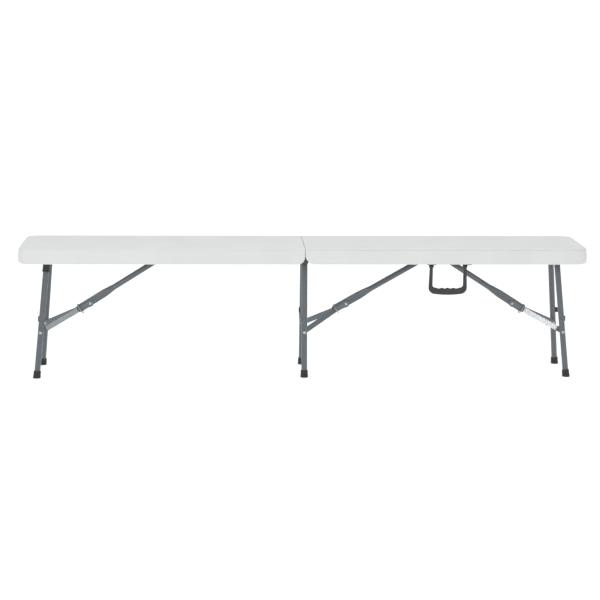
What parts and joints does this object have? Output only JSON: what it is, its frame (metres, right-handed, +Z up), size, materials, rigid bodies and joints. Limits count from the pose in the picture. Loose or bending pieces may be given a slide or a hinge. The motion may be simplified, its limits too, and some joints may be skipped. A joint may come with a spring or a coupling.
{
  "type": "folding bench",
  "caption": "Long bench that folds in half: moulded seat halves with a short skirt, splayed folding leg frames, jointed braces with lock rings and a carry handle.",
  "frame": {"origin": "on the floor, midway along the seat and midway between its front and back edges", "axes": "+X along the seat towards the half that has the handle, +Y towards the back, +Z up"},
  "size_m": [1.83, 0.285, 0.43],
  "materials": {
    "seat_shell": "white moulded plastic with a fine pebbled texture",
    "powder_coat": "grey hammertone powder coat, semi-gloss",
    "zinc_steel": "bright zinc plate",
    "black_plastic": "black moulded plastic, satin"
  },
  "bodies": {
    "right_half": {"brace_bracket_right": "powder_coat", "brace_pin_centre": "zinc_steel", "brace_pin_right": "zinc_steel", "handle_bracket_left": "black_plastic", "handle_bracket_right": "black_plastic", "hinge_leaf_right_front": "powder_coat", "hinge_leaf_right_rear": "powder_coat", "hinge_pin_front": "powder_coat", "hinge_pin_rear": "powder_coat", "leg_bush_centre_front": "black_plastic", "leg_bush_centre_rear": "black_plastic", "leg_bush_right_front": "black_plastic", "leg_bush_right_rear": "black_plastic", "rail_right_front": "powder_coat", "rail_right_rear": "powder_coat", "seat_panel_right": "seat_shell"},
    "left_half": {"brace_bracket_left": "powder_coat", "brace_pin_left": "zinc_steel", "hinge_leaf_left_front": "powder_coat", "hinge_leaf_left_rear": "powder_coat", "leg_bush_left_front": "black_plastic", "leg_bush_left_rear": "black_plastic", "rail_left_front": "powder_coat", "rail_left_rear": "powder_coat", "seat_panel_left": "seat_shell"},
    "arms_centre": {"brace_arm_centre_front": "powder_coat", "brace_arm_centre_rear": "powder_coat"},
    "arms_left": {"brace_arm_left_front": "powder_coat", "brace_arm_left_rear": "powder_coat"},
    "arms_right": {"brace_arm_right_front": "powder_coat", "brace_arm_right_rear": "powder_coat"},
    "tube_centre": {"brace_tube_centre": "powder_coat", "elbow_rivet_centre": "zinc_steel"},
    "tube_left": {"brace_tube_left": "powder_coat", "elbow_rivet_left": "zinc_steel"},
    "tube_right": {"brace_tube_right": "powder_coat", "elbow_rivet_right": "zinc_steel"},
    "handle": {"carry_handle": "black_plastic"},
    "leg_centre": {"foot_cap_centre_front": "black_plastic", "foot_cap_centre_rear": "black_plastic", "leg_clip_centre": "black_plastic", "leg_frame_centre": "powder_coat", "leg_rivet_centre_front": "zinc_steel", "leg_rivet_centre_rear": "zinc_steel"},
    "leg_left": {"foot_cap_left_front": "black_plastic", "foot_cap_left_rear": "black_plastic", "leg_clip_left": "black_plastic", "leg_collar_left_front": "black_plastic", "leg_frame_left": "powder_coat", "leg_rivet_left_front": "zinc_steel", "leg_rivet_left_rear": "zinc_steel"},
    "leg_right": {"foot_cap_right_front": "black_plastic", "foot_cap_right_rear": "black_plastic", "leg_clip_right": "black_plastic", "leg_frame_right": "powder_coat", "leg_rivet_right_front": "zinc_steel", "leg_rivet_right_rear": "zinc_steel"},
    "ring_centre": {"lock_ring_centre": "zinc_steel"},
    "ring_left": {"lock_ring_left": "zinc_steel"},
    "ring_right": {"lock_ring_right": "zinc_steel"}
  },
  "joints": [
    {"name": "fold", "type": "hinge", "parent": "right_half", "child": "left_half", "pos_m": [0, 0, 0.3735], "axis": [0, -1, 0], "range_deg": [0, 180]},
    {"name": "leg_left", "type": "hinge", "parent": "left_half", "child": "leg_left", "pos_m": [-0.82591, 0, 0.4], "axis": [0, -1, 0], "range_deg": [0, 95.44]},
    {"name": "tube_left", "type": "hinge", "parent": "left_half", "child": "tube_left", "pos_m": [-0.42634, 0, 0.4015], "axis": [0, 1, 0], "range_deg": [0, 32.34]},
    {"name": "arms_left", "type": "hinge", "parent": "tube_left", "child": "arms_left", "pos_m": [-0.695, 0, 0.2275], "axis": [0, -1, 0], "range_deg": [0, 185.49]},
    {"name": "ring_left", "type": "slide", "parent": "tube_left", "child": "ring_left", "axis": [0.8461, 0, 0.5331], "range_m": [0, 0.30001]},
    {"name": "leg_centre", "type": "hinge", "parent": "right_half", "child": "leg_centre", "pos_m": [0.0025, 0, 0.4], "axis": [0, -1, 0], "range_deg": [0, 90]},
    {"name": "tube_centre", "type": "hinge", "parent": "right_half", "child": "tube_centre", "pos_m": [0.44202, 0, 0.4015], "axis": [0, 1, 0], "range_deg": [0, 30.09]},
    {"name": "arms_centre", "type": "hinge", "parent": "tube_centre", "child": "arms_centre", "pos_m": [0.143, 0, 0.225], "axis": [0, -1, 0], "range_deg": [0, 181.52]},
    {"name": "ring_centre", "type": "slide", "parent": "tube_centre", "child": "ring_centre", "axis": [0.867, 0, 0.4984], "range_m": [0, 0.30001]},
    {"name": "leg_right", "type": "hinge", "parent": "right_half", "child": "leg_right", "pos_m": [0.82591, 0, 0.4], "axis": [0, 1, 0], "range_deg": [0, 95.44]},
    {"name": "tube_right", "type": "hinge", "parent": "right_half", "child": "tube_right", "pos_m": [0.42771, 0, 0.4015], "axis": [0, -1, 0], "range_deg": [0, 32.79]},
    {"name": "arms_right", "type": "hinge", "parent": "tube_right", "child": "arms_right", "pos_m": [0.694, 0, 0.226], "axis": [0, 1, 0], "range_deg": [0, 186.53]},
    {"name": "ring_right", "type": "slide", "parent": "tube_right", "child": "ring_right", "axis": [-0.8418, 0, 0.5398], "range_m": [0, 0.30001]},
    {"name": "handle", "type": "hinge", "parent": "right_half", "child": "handle", "pos_m": [0.46, -0.131, 0.3735], "axis": [-1, 0, 0], "range_deg": [0, 90]}
  ],
  "couplings": [
    {"joint": "leg_left", "follows": "fold", "ratio": 0.53022},
    {"joint": "tube_left", "follows": "fold", "ratio": 0.17966},
    {"joint": "arms_left", "follows": "fold", "ratio": 1.0305},
    {"joint": "ring_left", "follows": "fold", "m_per_rad": 0.095493},
    {"joint": "leg_centre", "follows": "fold", "ratio": 0.5},
    {"joint": "tube_centre", "follows": "fold", "ratio": 0.16717},
    {"joint": "arms_centre", "follows": "fold", "ratio": 1.0084},
    {"joint": "ring_centre", "follows": "fold", "m_per_rad": 0.095493},
    {"joint": "leg_right", "follows": "fold", "ratio": 0.53022},
    {"joint": "tube_right", "follows": "fold", "ratio": 0.18217},
    {"joint": "arms_right", "follows": "fold", "ratio": 1.0363},
    {"joint": "ring_right", "follows": "fold", "m_per_rad": 0.095493},
    {"joint": "handle", "follows": "fold", "ratio": 0.5}
  ]
}
